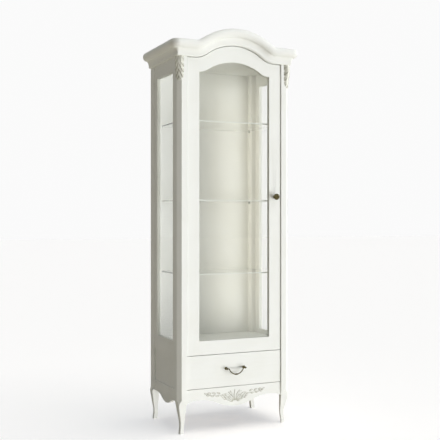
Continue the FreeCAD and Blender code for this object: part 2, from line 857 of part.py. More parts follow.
def make_boards():
    ends = "half_width - cornice_return_depth"
    keep(board("ceiling_board", (f"-({ends})", "inner_front + head_rail_thickness", "cornice_base"),
               (ends, "panel_front", "cornice_base + ceiling_thickness")))
    side = "opening_half + back_panel_bearing - back_panel_side_gap"
    keep(board("back_panel", (f"-({side})", "panel_front", "back_panel_bottom"),
               (side, "panel_front + back_panel_thickness", "cornice_base + back_panel_rise")))
    keep(board("rear_rail", ("-opening_half", "panel_front - rear_rail_thickness", "rear_rail_bottom"),
               ("opening_half", "panel_front", "rear_rail_top")))
    floor = new_body("display_floor")
    plan = sketch_on(floor, "XY_Plane", "display_floor_top - display_floor_thickness")
    right = [("opening_half", "inner_front"), ("opening_half", "front_post_back"),
             ("side_inner", "front_post_back"), ("side_inner", "rear_post_front"),
             ("opening_half", "rear_post_front"), ("opening_half", "panel_front")]
    left = [(f"-({x})", y) for x, y in reversed(right)]
    polygon(plan, right + left)
    pad(floor, plan, "display_floor_thickness")
    keep(floor)
    floor_low = "display_floor_top - display_floor_thickness"
    keep(board("mid_rail", ("-opening_half", "inner_front", "pivot_plate_top"),
               ("opening_half", "inner_front + mid_rail_depth", floor_low)))
    cleat = board("left_floor_cleat",
                  ("-side_inner", "front_post_back", f"{floor_low} - cleat_height"),
                  ("-side_inner + cleat_width", "rear_post_front", floor_low))
    keep(group("floor_cleats", [cleat, mirror("right_floor_cleat", cleat)]))


def make_shelves():
    ends = "opening_half - shelf_side_gap"
    for shelf in SHELVES:
        keep(board(f"glass_shelf_{shelf}",
                   (f"-({ends})", "inner_front + shelf_front_gap", f"shelf_{shelf}"),
                   (ends, "panel_front - shelf_back_gap", f"shelf_{shelf} + shelf_thickness")))
    pins = []
    for shelf in SHELVES:
        for end in ("front", "rear"):
            label = f"shelf_pin_{shelf}_{end}"
            body = new_body(label, "-opening_half", f"pin_{end}", pin_level(shelf))
            shank = sketch_on(body, "YZ_Plane")
            circles(shank, [("0", "0")], "pin_shank_radius")
            pad(body, shank, "pin_shank_length - pin_end_gap", -1)
            head = sketch_on(body, "YZ_Plane")
            pad(body, circles(head, [("0", "0")], "pin_head_radius"), "pin_head_length")
            pins += [body, mirror(label + "_right", body)]
    keep(group("shelf_pins", pins))


def make_runners():
    body = new_body("left_drawer_runner")
    start = "face + apron_thickness"
    section = sketch_on(body, "XZ_Plane", start)
    inner = "-opening_half + guide_thickness + runner_ledge"
    polygon(section, [
        ("-opening_half", "runner_top - runner_thickness"),
        (inner, "runner_top - runner_thickness"),
        (inner, "runner_top"),
        ("-opening_half + guide_thickness", "runner_top"),
        ("-opening_half + guide_thickness", "runner_top + guide_height"),
        ("-opening_half", "runner_top + guide_height"),
    ])
    pad(body, section, f"panel_front - rear_rail_thickness - ({start})")
    keep(group("drawer_runners", [body, mirror("right_drawer_runner", body)]))


def make_pivots():
    """Plates with a pin each, over and under the door's hinge edge."""
    across = "-pivot_across"
    half = "(pivot_plate_length / 2)"
    left = "-(opening_half - pivot_across - door_edge_gap / 2)"
    upper = new_body("upper_pivot", across, "pivot_back", "cornice_base")
    plate = sketch_on(upper, "XY_Plane")
    rectangle(plate, (left, "pivot_plate_margin - pivot_depth"), (half, "door_thickness - pivot_depth"))
    pad(upper, plate, "pivot_plate_thickness", -1)
    pin = circles(sketch_on(upper, "XY_Plane"), [("0", "0")], "pivot_pin_radius")
    pad(upper, pin, "door_top_gap + pivot_pin_length", -1)
    keep(upper)
    lower = new_body("lower_pivot", across, "pivot_back", "pivot_plate_top")
    plate = sketch_on(lower, "XY_Plane")
    rectangle(plate, (left, "pivot_plate_margin - pivot_depth"),
              (half, "door_thickness + door_back_gap - pivot_depth + pivot_plate_tail"))
    pad(lower, plate, "pivot_plate_thickness", -1)
    pin = circles(sketch_on(lower, "XY_Plane"), [("0", "0")], "pivot_pin_radius")
    pad(lower, pin, "pivot_plate_gap + pivot_pin_length")
    keep(lower)


def make_catch():
    start = "knob_across - catch_length / 2"
    end = "knob_across + catch_length / 2"
    keep(board("door_catch",
               (start, "face + door_thickness + strike_thickness + catch_gap",
                "cornice_base - catch_height"),
               (end, "face + door_thickness + strike_thickness + catch_gap + catch_depth",
                "cornice_base")))
    keep(board("catch_strike",
               (start, "face + door_thickness", "door_flat - strike_margin - strike_height"),
               (end, "face + door_thickness + strike_thickness", "door_flat - strike_margin")))


def bush_hole(body, level, toward):
    """A round seat for a pivot bush in the hinge stile."""
    hole = circles(sketch_on(body, "XY_Plane", level), [("-pivot_across", "pivot_depth")],
                   "pivot_bush_radius")
    return pocket(body, hole, "pivot_bush_length", toward)


def door_stile(label, sign):
    """An upright of the door, with its top cut to the arch and a rebate for the glass."""
    body = new_body(label, y="face")
    shift = "-door_top_gap"
    top = CORNICE_ARCH.up_at("glass_half", shift)
    turn = 1 if sign < 0 else -1
    sketch = sketch_on(body, "XZ_Plane")
    outline(sketch, (f"{sign} * door_half", "door_bottom_edge"), [
        (f"{sign} * door_half", "door_flat"),
        (f"{sign} * arch_half_span", "door_flat"),
        (f"{sign} * glass_half", top, CORNICE_ARCH.shoulder(shift), turn),
        (f"{sign} * glass_half", "door_bottom_edge"),
        (f"{sign} * door_half", "door_bottom_edge"),
    ])
    slab = pad(body, sketch, "door_thickness")
    if sign < 0:
        slab = round_edges(body, slab, "door_edge_round",
                           lambda point: near(point.x, "-door_half") and near(point.y, "0"))
        round_edges(body, slab, "door_heel_round",
                    lambda point: near(point.x, "-door_half") and near(point.y, "door_thickness"))
    cut = sketch_on(body, "XZ_Plane", "door_thickness")
    inner, outer = f"{sign} * glass_half", f"{sign} * (glass_half + rebate_width)"
    low, high = (outer, inner) if sign < 0 else (inner, outer)
    rectangle(cut, (low, "door_glass_bottom - rebate_width"),
              (high, "door_glass_corner + rebate_width"))
    pocket(body, cut, "rebate_depth", -1)
    return body


def arch_band(sketch, low_shift, high_shift, across):
    """The band between two parallels of the glass arch."""
    low, high = GLASS_ARCH.level(low_shift), GLASS_ARCH.level(high_shift)
    return outline(sketch, (f"-({across})", high),
                   GLASS_ARCH.rightward(across, high, high_shift)
                   + [(across, low)]
                   + GLASS_ARCH.leftward(f"-({across})", low, low_shift)
                   + [(f"-({across})", high)])


def make_door_frame():
    hinge_stile = door_stile("door_hinge_stile", -1)
    bush_hole(hinge_stile, "door_flat", -1)
    bush_hole(hinge_stile, "door_bottom_edge", 1)
    keep(hinge_stile)
    knob_stile = door_stile("door_knob_stile", 1)
    hole = circles(sketch_on(knob_stile, "XZ_Plane"), [("knob_across", "knob_height")],
                   "screw_radius + screw_hole_gap")
    pocket(knob_stile, hole, "door_thickness")
    keep(knob_stile)

    top_rail = new_body("door_top_rail", y="face")
    shift = "-door_top_gap"
    shoulder = CORNICE_ARCH.up_at("glass_half", shift)
    sketch = sketch_on(top_rail, "XZ_Plane")
    outline(sketch, ("-glass_half", shoulder),
            CORNICE_ARCH.rightward("glass_half", shoulder, shift)
            + [("glass_half", "door_glass_corner")]
            + GLASS_ARCH.leftward("-glass_half", "door_glass_corner", "0")
            + [("-glass_half", shoulder)])
    pad(top_rail, sketch, "door_thickness")
    cut = arch_band(sketch_on(top_rail, "XZ_Plane", "door_thickness"), "0", "rebate_width", "glass_half")
    pocket(top_rail, cut, "rebate_depth", -1)
    keep(top_rail)

    bottom_rail = new_body("door_bottom_rail", x="-glass_half", y="face")
    section = sketch_on(bottom_rail, "YZ_Plane")
    polygon(section, [
        ("0", "door_bottom_edge"),
        ("door_thickness", "door_bottom_edge"),
        ("door_thickness", "door_glass_bottom - rebate_width"),
        ("door_thickness - rebate_depth", "door_glass_bottom - rebate_width"),
        ("door_thickness - rebate_depth", "door_glass_bottom"),
        ("0", "door_glass_bottom"),
    ])
    pad(bottom_rail, section, "2 * glass_half")
    keep(bottom_rail)


def make_door_glass():
    slack = "(rebate_width - glass_edge_gap)"
    side = f"(glass_half + {slack})"
    top = GLASS_ARCH.level(slack)
    low = f"door_glass_bottom - {slack}"
    body = new_body("door_glass", y="face + door_thickness - rebate_depth")
    sketch = sketch_on(body, "XZ_Plane")
    outline(sketch, (f"-{side}", top),
            [("-glass_half", top)]
            + GLASS_ARCH.rightward("glass_half", top, slack)
            + [(side, top), (side, low), (f"-{side}", low), (f"-{side}", top)])
    pad(body, sketch, "glass_thickness")
    keep(body)


def make_door_beads():
    near_face = "face + door_thickness - bead_depth"
    far_face = "face + door_thickness"
    low = "door_glass_bottom - rebate_width"
    high = "door_glass_corner + rebate_width"
    left = board("door_bead_left", ("-glass_half - rebate_width", near_face, low),
                 ("-glass_half", far_face, high))
    bottom = board("door_bead_bottom", ("-glass_half", near_face, low),
                   ("glass_half", far_face, "door_glass_bottom"))
    top = new_body("door_bead_top", y=near_face)
    band = arch_band(sketch_on(top, "XZ_Plane"), "0", "rebate_width - bead_curve_gap", "glass_half")
    pad(top, band, "bead_depth")
    keep(group("door_glazing_beads", [left, mirror("door_bead_right", left), bottom, top]))


def make_bushes():
    bushes = []
    for name, level, toward in (("upper", "door_flat", -1), ("lower", "door_bottom_edge", 1)):
        body = new_body(f"{name}_pivot_bush", "-pivot_across", "pivot_back", level)
        ring = sketch_on(body, "XY_Plane")
        circles(ring, [("0", "0")], "pivot_bush_radius")
        circles(ring, [("0", "0")], "pivot_pin_radius + pivot_running_gap")
        pad(body, ring, "pivot_bush_length", toward)
        bushes.append(body)
    keep(group("door_pivot_bushes", bushes))


def make_knob():
    """A mushroom knob, turned about its own axis, and the screw that holds it."""
    body = new_body("door_knob", "knob_across", "face", "knob_height")
    rim = "(-knob_length + knob_crown)"
    under = f"({rim} + knob_rim)"
    crown_radius = "((knob_radius^2 + knob_crown^2) / (2 * knob_crown))"
    sketch = sketch_on(body, "XY_Plane")
    outline(sketch, ("0", "0"), [
        ("knob_foot_radius", "0"),
        ("knob_foot_radius", "-knob_foot_height"),
        ("knob_neck_radius", "-knob_foot_height - knob_neck_flare"),
        ("knob_neck_radius", f"{under} + knob_cup"),
        ("knob_radius", f"{rim} + knob_rim / 2", "knob_radius", -1),
        ("knob_radius", rim),
        ("0", "-knob_length", crown_radius, -1),
        ("0", "0"),
    ])
    revolve(body, sketch, 360)
    hole = circles(sketch_on(body, "XZ_Plane"), [("0", "0")], "screw_radius + screw_hole_gap")
    pocket(body, hole, "screw_bite + screw_point_gap", -1)
    keep(body)
    keep(screw("knob_screw", "knob_across", "face + door_thickness", "knob_height", "door_thickness"))


def screw(label, x, y, z, wall):
    """A plain screw through a wall, with its head on the inner face and its point to the front."""
    body = new_body(label, x, y, z)
    head = circles(sketch_on(body, "XZ_Plane"), [("0", "0")], "screw_head_radius")
    pad(body, head, "screw_head_height")
    shank = circles(sketch_on(body, "XZ_Plane"), [("0", "0")], "screw_radius")
    pad(body, shank, f"{wall} + screw_bite", -1)
    return body


def make_drawer():
    front_board = new_body("drawer_front", y="face")
    board_face = sketch_on(front_board, "XZ_Plane")
    rectangle(board_face, ("-door_half", "drawer_bottom_edge"), ("door_half", "drawer_top_edge"))
    pad(front_board, board_face, "drawer_front_thickness")
    groove = sketch_on(front_board, "XZ_Plane", "drawer_front_thickness")
    rectangle(groove, ("-drawer_inner - drawer_groove_depth", "drawer_floor_bottom - drawer_groove_gap"),
              ("drawer_inner + drawer_groove_depth",
               "drawer_floor_bottom + drawer_floor_thickness + drawer_groove_gap"))
    pocket(front_board, groove, "drawer_groove_depth", -1)
    holes = circles(sketch_on(front_board, "XZ_Plane"),
                    [("-handle_half_span", "handle_height"), ("handle_half_span", "handle_height")],
                    "screw_radius + screw_hole_gap")
    pocket(front_board, holes, "drawer_front_thickness")
    keep(front_board)

    side = new_body("drawer_left_side", y="drawer_box_front")
    section = sketch_on(side, "XZ_Plane")
    groove_low = "drawer_floor_bottom - drawer_groove_gap"
    groove_high = "drawer_floor_bottom + drawer_floor_thickness + drawer_groove_gap"
    polygon(section, [
        ("-drawer_outer", "drawer_box_bottom"),
        ("-drawer_inner", "drawer_box_bottom"),
        ("-drawer_inner", groove_low),
        ("-drawer_inner - drawer_groove_depth", groove_low),
        ("-drawer_inner - drawer_groove_depth", groove_high),
        ("-drawer_inner", groove_high),
        ("-drawer_inner", "drawer_box_bottom + drawer_box_height"),
        ("-drawer_outer", "drawer_box_bottom + drawer_box_height"),
    ])
    pad(side, section, "drawer_box_length")
    keep(side)
    keep(mirror("drawer_right_side", side))
    keep(board("drawer_back",
               ("-drawer_inner", "drawer_box_back - drawer_side_thickness",
                "drawer_floor_bottom + drawer_floor_thickness"),
               ("drawer_inner", "drawer_box_back", "drawer_box_bottom + drawer_box_height")))
    reach = "drawer_inner + drawer_groove_depth - drawer_floor_play"
    keep(board("drawer_floor",
               (f"-({reach})", "drawer_box_front - drawer_groove_depth + drawer_floor_play",
                "drawer_floor_bottom"),
               (reach, "drawer_box_back", "drawer_floor_bottom + drawer_floor_thickness")))


def make_handle_posts():
    """Turned posts with an eye for the bail's pins."""
    body = new_body("left_handle_post", "-handle_half_span", "face", "handle_height")
    sketch = sketch_on(body, "XY_Plane")
    eye_start = "(handle_reach - sqrt(handle_eye_radius^2 - handle_neck_radius^2))"
    outline(sketch, ("0", "0"), [
        ("handle_rose_radius", "0"),
        ("handle_neck_radius", "-handle_rose_height * 2", "handle_rose_radius", 1),
        ("handle_neck_radius", f"-{eye_start}"),
        ("0", "-handle_reach - handle_eye_radius", "handle_eye_radius", -1),
        ("0", "0"),
    ])
    revolve(body, sketch, 360)
    eye = circles(sketch_on(body, "YZ_Plane", "-2 * handle_eye_radius"), [("-handle_reach", "0")],
                  "handle_pin_radius + handle_pin_gap")
    pocket(body, eye, "4 * handle_eye_radius")
    hole = circles(sketch_on(body, "XZ_Plane"), [("0", "0")], "screw_radius + screw_hole_gap")
    pocket(body, hole, "screw_bite + screw_point_gap", -1)
    keep(group("handle_posts", [body, mirror("right_handle_post", body)]))
    left = screw("left_handle_screw", "-handle_half_span", "drawer_box_front", "handle_height",
                 "drawer_front_thickness")
    keep(group("handle_screws", [left, mirror("right_handle_screw", left)]))


def make_bail():
    """The swinging bow, swept along its arms, with a pin at each end and a thicker grip."""
    body = new_body("bail", "0", "face - handle_reach", "handle_height")
    drop = ("((bail_bow_radius + bail_turn_radius) * (1 - cos(bail_slope))"
            " + bail_arm_length * sin(bail_slope))")
    arm_low = ("bail_bow_radius * sin(bail_slope)", f"-{drop} + bail_bow_radius * (1 - cos(bail_slope))")
    arm_high = ("bail_bow_radius * sin(bail_slope) + bail_arm_length * cos(bail_slope)",
                "-bail_turn_radius * (1 - cos(bail_slope))")
    root = f"{arm_high[0]} + bail_turn_radius * sin(bail_slope)"
    route = sketch_on(body, "XZ_Plane")
    outline(route, ("-handle_half_span + handle_eye_radius + bail_end_gap", "0"), [
        (f"-({root})", "0"),
        (f"-({arm_high[0]})", arm_high[1], "bail_turn_radius", -1),
        (f"-({arm_low[0]})", arm_low[1]),
        (arm_low[0], arm_low[1], "bail_bow_radius", 1),
        arm_high,
        (root, "0", "bail_turn_radius", -1),
        ("handle_half_span - handle_eye_radius - bail_end_gap", "0"),
    ], closed=False)
    ring = sketch_on(body, "YZ_Plane", "-handle_half_span + handle_eye_radius + bail_end_gap")
    sweep = body.newObject("PartDesign::AdditivePipe", "bail_sweep")
    sweep.Profile = circles(ring, [("0", "0")], "bail_radius")
    sweep.Spine = (route, [])
    reach = "handle_half_span + handle_pin_overhang"
    for sign in (-1, 1):
        pin = sketch_on(body, "YZ_Plane", f"{sign} * ({reach})")
        circles(pin, [("0", "0")], "handle_pin_radius")
        pad(body, pin, "handle_eye_radius + handle_pin_overhang + bail_pin_root", -sign)
    grip = sketch_on(body, "XZ_Plane")
    swell = "((bail_grip_half^2 + bail_grip_radius^2) / (2 * bail_grip_radius))"
    outline(grip, ("-bail_grip_half", f"-{drop}"), [
        ("bail_grip_half", f"-{drop}", swell, 1),
        ("-bail_grip_half", f"-{drop}"),
    ])
    turn = body.newObject("PartDesign::Revolution", "bail_grip")
    turn.Profile = grip
    turn.ReferenceAxis = (grip, ["Edge2"])
    turn.Angle = 360
    keep(body)


def check_and_write():
    """Stop on any broken object, then write one file for each piece."""
    doc.recompute()
    for thing in doc.Objects:
        if "Invalid" in thing.State or "Error" in thing.State:
            raise RuntimeError(f"{thing.Label} did not build: {thing.State}")
    os.makedirs("parts", exist_ok=True)
    for thing in nodes:
        shape = thing.Shape
        if shape.isNull() or not shape.isValid() or not shape.Solids:
            raise RuntimeError(f"{thing.Label} has no valid solid")
        shape.exportStep(f"parts/{thing.Label}.step")
    print(len(nodes), "pieces")


make_posts()
make_sides()
make_front_apron()
make_apron_relief()
make_corner_leaves()
make_cornice()
make_head_rail()
make_boards()
make_shelves()
make_runners()
make_pivots()
make_catch()
make_door_frame()
make_door_glass()
make_door_beads()
make_bushes()
make_knob()
make_drawer()
make_handle_posts()
make_bail()
check_and_write()
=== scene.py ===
import math

import bmesh
import bpy
from mathutils import Matrix, Vector


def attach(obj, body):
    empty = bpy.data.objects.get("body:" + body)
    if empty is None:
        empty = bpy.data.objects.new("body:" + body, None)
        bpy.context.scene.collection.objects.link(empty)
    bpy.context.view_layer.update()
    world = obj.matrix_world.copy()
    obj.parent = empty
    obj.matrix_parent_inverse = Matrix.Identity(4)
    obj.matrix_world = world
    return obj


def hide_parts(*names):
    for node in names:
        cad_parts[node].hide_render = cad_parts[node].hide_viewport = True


# Glass display cabinet: its paint, glass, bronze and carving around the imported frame.

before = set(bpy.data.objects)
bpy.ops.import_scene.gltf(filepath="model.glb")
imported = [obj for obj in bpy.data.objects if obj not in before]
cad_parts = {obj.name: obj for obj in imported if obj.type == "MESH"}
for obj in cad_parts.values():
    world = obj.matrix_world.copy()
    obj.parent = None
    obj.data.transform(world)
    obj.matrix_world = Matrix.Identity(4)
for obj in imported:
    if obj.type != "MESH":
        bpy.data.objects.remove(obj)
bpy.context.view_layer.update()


def box_of(name):
    """The low and the high corner of a CAD piece."""
    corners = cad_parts[name].bound_box
    low = Vector([min(values) for values in zip(*corners)])
    high = Vector([max(values) for values in zip(*corners)])
    return low, high


# Camera, floor and light

CAMERA_PLACE = (-1.7892, -3.8825, 1.0575)
CAMERA_TILT = math.radians(90)
CAMERA_TURN = math.radians(-24.685)
CAMERA_LENS = 66.59
SENSOR_WIDTH = 36.0
FLOOR_HALF = 40.0
BACKDROP_WHITE = (0.96, 0.96, 0.96, 1)
FLOOR_SEEN = (0.985, 0.918, 0.835, 1)
FLOOR_SEEN_DEEP = (0.965, 0.899, 0.817, 1)
FLOOR_GLOW = (0.385, 0.420, 0.468, 1)
FLOOR_BOUNCE = (0.74, 0.685, 0.56, 1)
NO_LIGHT = (0, 0, 0, 1)
ROOM_FILL = (0.14, 0.14, 0.133, 1)
KEY_STRENGTH = 2.93
KEY_COLOUR = (0.965, 0.98, 1.0)
KEY_SOFTNESS = math.radians(48)
KEY_DIRECTION = (0.662, -0.710, -0.242)
TOP_STRENGTH = 1.45
TOP_COLOUR = (1.0, 1.0, 1.0)
TOP_SOFTNESS = math.radians(60)
TOP_DIRECTION = (0.24, -0.24, 0.94)
BACK_STRENGTH = 1.3
BACK_COLOUR = (1.0, 1.0, 1.0)
BACK_SOFTNESS = math.radians(2)
BACK_DIRECTION = (0.02, 1.0, 0.0)
INSIDE_POWER = 0.62
INSIDE_COLOUR = (1.0, 0.93, 0.80)
INSIDE_PLACE = (-0.24, -0.138, 1.12)
INSIDE_DIRECTION = (-0.84, -0.54, 0.0)
INSIDE_SPREAD = math.radians(56)
INSIDE_STRIP = (0.03, 1.30)

# Finishes: colours, the sheen of paint, and the depth of a shelf's ground edge in metres

IVORY = (0.878, 0.892, 0.87, 1)
IVORY_DEEP = (0.84, 0.85, 0.81, 1)
# Painted shade for the hollows of the apron relief
IVORY_HOLLOW_SHADE = (0.50, 0.495, 0.43, 1)
LEAF_FACE = (0.875, 0.88, 0.815, 1)
# Painted shade for the strokes and rim of the corner leaves
LEAF_HOLLOW_SHADE = (0.36, 0.355, 0.29, 1)
BRONZE = (0.085, 0.072, 0.03, 1)
BRONZE_WORN = (0.20, 0.165, 0.08, 1)
STEEL = (0.56, 0.56, 0.55, 1)
STEEL_DULL = (0.42, 0.42, 0.41, 1)
BRASS = (0.68, 0.50, 0.22, 1)
BRASS_DULL = (0.50, 0.36, 0.16, 1)
PLASTIC = (0.76, 0.74, 0.66, 1)
PLASTIC_DEEP = (0.70, 0.68, 0.60, 1)
WOOD_PALE = (0.62, 0.47, 0.29, 1)
WOOD_DARK = (0.46, 0.32, 0.17, 1)
GLASS_TINT = (0.985, 0.988, 0.98, 1)
GLASS_TINT_DEEP = (0.965, 0.972, 0.96, 1)
GLASS_PASSING = (0.905, 0.905, 0.89, 1)
GLASS_EDGE = (0.80, 0.85, 0.82, 1)
PAINT_SHEEN = 0.22
EDGE_DEPTH = 0.0006

# Apron relief, in metres; its places are right and up on the apron's face, and a mesh has so many faces
# across and along

RELIEF_BACK = box_of("front_apron")[0].y
RELIEF_RISE = RELIEF_BACK - box_of("apron_relief")[0].y
FAN_RISE = 0.9 * RELIEF_RISE
SPRIG_RISE = 0.75 * RELIEF_RISE
BUTTON_RISE = 0.8 * RELIEF_RISE
BUTTON_PLACE = (0.145, 0.187)
BUTTON_RADIUS = 0.0030
BUTTON_SEGMENTS = 20
BUTTON_RINGS = 12
STEM_START = (0.060, 0.176)
STEM_END = (0.150, 0.186)
STEM_SAG = 0.004
STEM_THICK = 0.0014
STEM_RUN_OUT = 0.15
STEM_MESH = (8, 16)
PETAL_SHOULDER = 0.85
PETAL_FULLNESS = 0.7
PETAL_ROOT_RISE = 0.3
PETAL_GROOVE = 0.3
PETAL_GROOVE_SPREAD = 0.16
PETAL_MESH = (10, 14)
TIP_JOIN = 0.000001
FAN_MIDDLE = (0.0, 0.1725)

# Each petal: the place of its root, its length, width and angle in degrees, and its curl in radians.
# Plumes and fan leaves count their roots from the middle of the fan, sprig leaves from the apron's.

PLUMES = (
    (0.000, -0.030, 0.062, 0.0125, 90, 0.0), (0.000, -0.028, 0.034, 0.0110, 90, 0.0),
)
FAN_LEAVES = (
    (0.002, -0.026, 0.058, 0.0115, 72, -0.15), (0.003, -0.026, 0.040, 0.0105, 52, -0.20),
    (0.014, -0.004, 0.034, 0.0110, 62, -0.35), (0.020, -0.010, 0.040, 0.0110, 38, -0.30),
    (0.006, -0.028, 0.040, 0.0110, 30, 0.10), (0.010, -0.031, 0.034, 0.0105, 8, 0.35),
    (0.034, -0.004, 0.030, 0.0105, 54, -0.45), (0.036, -0.014, 0.032, 0.0105, 22, 0.20),
    (0.028, -0.024, 0.032, 0.0100, 14, 0.40), (0.050, -0.002, 0.026, 0.0100, 46, -0.50),
    (0.054, -0.008, 0.030, 0.0100, 10, 0.30), (0.048, -0.016, 0.024, 0.0090, -4, 0.50),
)
SPRIG_LEAVES = (
    (0.082, 0.183, 0.022, 0.0100, 52, -0.5), (0.088, 0.179, 0.022, 0.0100, -40, 0.6),
    (0.107, 0.184, 0.024, 0.0105, 50, -0.5), (0.114, 0.181, 0.023, 0.0105, -38, 0.6),
    (0.133, 0.187, 0.021, 0.0100, 48, -0.5), (0.139, 0.184, 0.020, 0.0095, -36, 0.6),
    (0.148, 0.187, 0.024, 0.0095, 6, 0.3),
)

# Corner leaves, in metres; a share along a leaf is 0 at its head, and a share across is 0 at its rib

LEAF_LOW, LEAF_HIGH = box_of("right_corner_leaf")
LEAF_TOP = LEAF_HIGH.z
LEAF_LENGTH = LEAF_HIGH.z - LEAF_LOW.z
LEAF_HALF = 0.0195
LEAF_TIP_HALF = 0.0025
LEAF_BLUNTNESS = 13
LEAF_NOTCHES = (0.26, 0.49, 0.70)
NOTCH_DEPTH = 0.14
NOTCH_SPREAD = 0.028
LEAF_RISE = 0.0105
LEAF_STEADY_RISE = 0.72
LEAF_BELLY_RISE = 0.75
LEAF_BELLY_PLACE = 0.27
LEAF_BELLY_SPREAD = 0.28
LEAF_TIP_SINK = 0.5
LEAF_TIP_SINK_POWER = 4
LEAF_EDGE = 0.003
LEAF_EDGE_POWER = 7
LEAF_CARVED_POWER = 5
LEAF_TIERS = 3.8
LEAF_TIER_SLANT = -1.3
LEAF_GROOVE = 0.0048
LEAF_GROOVE_POWER = 0.7
LEAF_HEAD_GROOVE = 0.3
LEAF_VEINS = 2.0
LEAF_VEIN_DEPTH = 0.0009
LEAF_RIB = 0.0014
LEAF_RIB_SPREAD = 0.10
LEAF_CURL = 0.002
LEAF_CURL_START = 0.82
LEAF_SUNK = 0.002
LEAF_MESH = (44, 96)
# Painted shade of the leaf strokes at the head, how much it grows further down, and painted shade towards
# the rim
LEAF_STROKE_HEAD = 0.25
LEAF_STROKE_GAIN = 0.6
LEAF_RIM_SHADE = 0.42
POST_CANT = 0.019
POST_LOW, POST_HIGH = box_of("front_right_post")
CANT_TURN = math.radians(45)
CANT_HALF = POST_CANT / math.sqrt(2)
CANT_PLACE = (POST_HIGH.x - POST_CANT / 2, POST_LOW.y + POST_CANT / 2)

# Eased edges of painted boards, in metres, and the bend that counts as an edge

EDGE_EASE = 0.0012
EASE_OVER = math.radians(38)
EASE_STEPS = 2
BOARD_JOIN = 0.00001
CREASE_OVER = math.radians(60)

# Which way a finish runs, and the pieces that wear it

EVEN = (1.0, 1.0, 1.0)
UPRIGHT = (1.0, 1.0, 0.06)
LEVEL = (0.06, 1.0, 1.0)
DEEP = (1.0, 0.06, 1.0)

UPRIGHT_PAINTED = (
    "front_left_post", "front_right_post", "rear_left_post", "rear_right_post",
    "left_front_stile", "left_rear_stile", "right_front_stile", "right_rear_stile",
    "left_lower_panel", "right_lower_panel", "door_hinge_stile", "door_knob_stile", "back_panel",
)
GLAZING_BEADS = ("door_glazing_beads", "left_glazing_beads", "right_glazing_beads")
LEVEL_PAINTED = (
    "front_cornice", "head_rail", "door_top_rail", "door_bottom_rail", "drawer_front", "front_apron",
    "mid_rail", "rear_rail", "ceiling_board", "display_floor",
)
DEEP_PAINTED = (
    "left_cornice", "right_cornice", "left_top_rail", "right_top_rail", "left_bottom_rail",
    "right_bottom_rail", "left_side_apron", "right_side_apron",
)
PANES = ("door_glass", "left_side_glass", "right_side_glass")
SHELVES = ("glass_shelf_low", "glass_shelf_middle", "glass_shelf_high")
BRONZE_FITTINGS = ("door_knob", "handle_posts", "bail")
STEEL_FITTINGS = ("catch_strike", "handle_screws", "knob_screw", "lower_pivot", "upper_pivot", "shelf_pins")
BRASS_FITTINGS = ("door_pivot_bushes",)
PLASTIC_FITTINGS = ("door_catch",)
LEVEL_WOOD = ("drawer_back", "drawer_floor")
DEEP_WOOD = ("drawer_left_side", "drawer_right_side", "drawer_runners", "floor_cleats")


class Wire:
    """A value in a finish's node tree; arithmetic on it adds Math nodes."""

    def __init__(self, finish, socket):
        self.finish = finish
        self.socket = socket

    def sum_of(self, operation, first, second):
        return self.finish.node("ShaderNodeMath", {"operation": operation}, {0: first, 1: second})

    def __add__(self, other):
        return self.sum_of("ADD", self, other)

    def __radd__(self, other):
        return self.sum_of("ADD", other, self)

    def __sub__(self, other):
        return self.sum_of("SUBTRACT", self, other)

    def __rsub__(self, other):
        return self.sum_of("SUBTRACT", other, self)

    def __mul__(self, other):
        return self.sum_of("MULTIPLY", self, other)

    def __rmul__(self, other):
        return self.sum_of("MULTIPLY", other, self)

    def absolute(self):
        return self.sum_of("ABSOLUTE", self, 0.0)

    def fraction(self):
        return self.sum_of("FRACT", self, 0.0)


class Finish:
    """A node tree that is filled step by step."""

    def __init__(self, tree):
        self.tree = tree
        self.tree.nodes.clear()

    def node(self, kind, settings, inputs, output=0):
        """Add a node, set its settings first, then its socket values or links."""
        made = self.tree.nodes.new(kind)
        for name, value in settings.items():
            setattr(made, name, value)
        for name, value in inputs.items():
            if isinstance(value, Wire):
                self.tree.links.new(value.socket, made.inputs[name])
            else:
                made.inputs[name].default_value = value
        return Wire(self, made.outputs[output]) if made.outputs else None

    def blend(self, share, first, second):
        """A colour between two colours."""
        return self.node("ShaderNodeMix", {"data_type": "RGBA"}, {"Factor": share, 6: first, 7: second}, 2)

    def noise(self, place, scale, detail=3.0, rough=0.5, stretch=EVEN, warp=0.0):
        """Noise of a given fineness, drawn out along the direction whose stretch is small."""
        mapped = self.node("ShaderNodeMapping", {}, {"Vector": place, "Scale": stretch})
        return self.node("ShaderNodeTexNoise", {}, {
            "Vector": mapped, "Scale": scale, "Detail": detail, "Roughness": rough, "Distortion": warp,
        })

    def ramp(self, value, low, high):
        """A value between 0 and 1 as it goes from low to high."""
        return self.node("ShaderNodeMapRange", {"interpolation_type": "SMOOTHSTEP"},
                         {"Value": value, "From Min": low, "From Max": high})

    def bump(self, height, depth):
        """Fine relief of a depth in metres."""
        return self.node("ShaderNodeBump", {}, {"Height": height, "Distance": depth})

    def place(self):
        return self.node("ShaderNodeTexCoord", {}, {}, "Object")

    def along(self, place, axis):
        """One coordinate of a place: X to the right, Y to the back, Z up."""
        return self.node("ShaderNodeSeparateXYZ", {}, {"Vector": place}, axis)

    def ray(self, kind):
        """1 for rays of one kind, 0 for others."""
        return self.node("ShaderNodeLightPath", {}, {}, kind)

    def principled(self, values):
        return self.node("ShaderNodeBsdfPrincipled", {}, values)

    def surface(self, shader):
        self.node("ShaderNodeOutputMaterial", {}, {"Surface": shader})


def new_finish(name):
    material = bpy.data.materials.new(name)
    material.use_nodes = True
    return material, Finish(material.node_tree)


